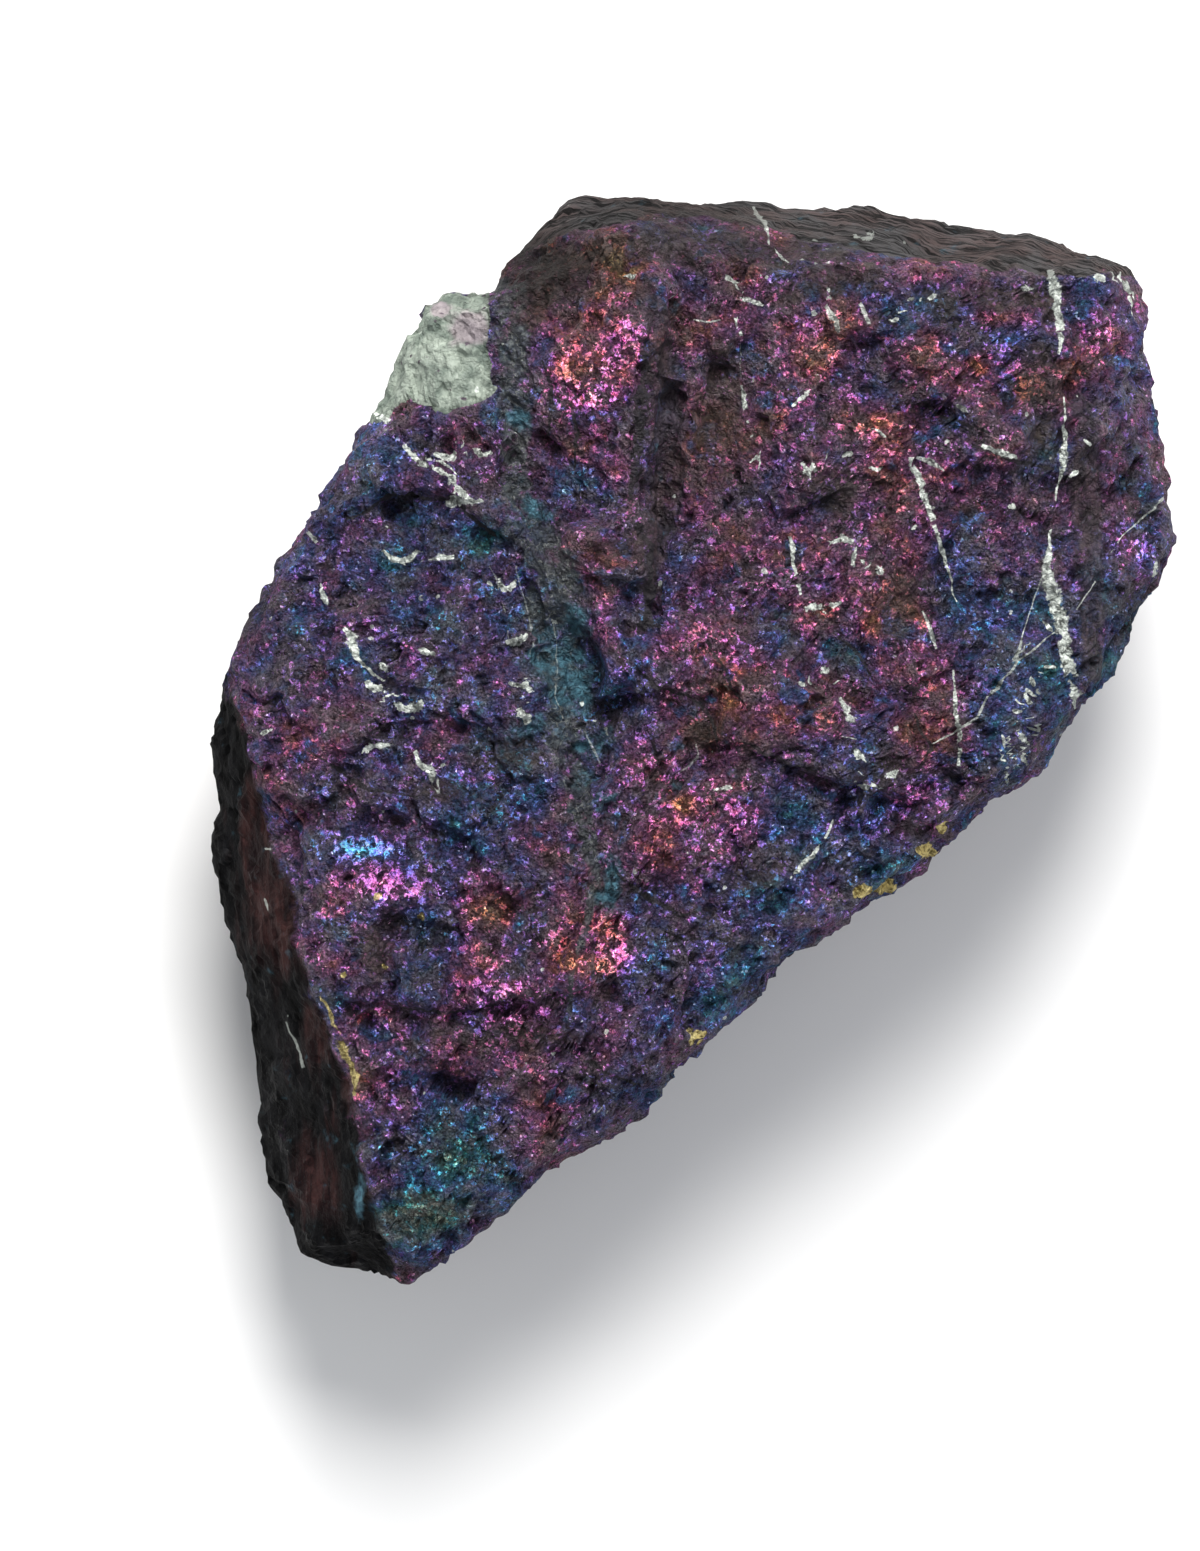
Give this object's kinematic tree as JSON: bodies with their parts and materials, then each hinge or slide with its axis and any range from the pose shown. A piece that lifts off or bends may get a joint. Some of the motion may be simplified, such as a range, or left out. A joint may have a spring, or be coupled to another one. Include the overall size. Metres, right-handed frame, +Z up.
{
  "type": "peacock ore",
  "caption": "Hand-sized broken lump of tarnished copper ore, lying on a flat spot on its back with its show face up.",
  "frame": {"origin": "on the flat rest spot, straight below the middle of the show face", "axes": "+Z up out of the show face; +Y along the longest side, towards the slaty top side; -X towards the bevelled flank"},
  "size_m": [0.1782, 0.2016, 0.0702],
  "materials": {
    "tarnished_ore": "rough sparkling break under an iridescent purple, blue, teal and magenta tarnish film"
  },
  "bodies": {
    "root": {"ore": "tarnished_ore"}
  },
  "joints": []
}
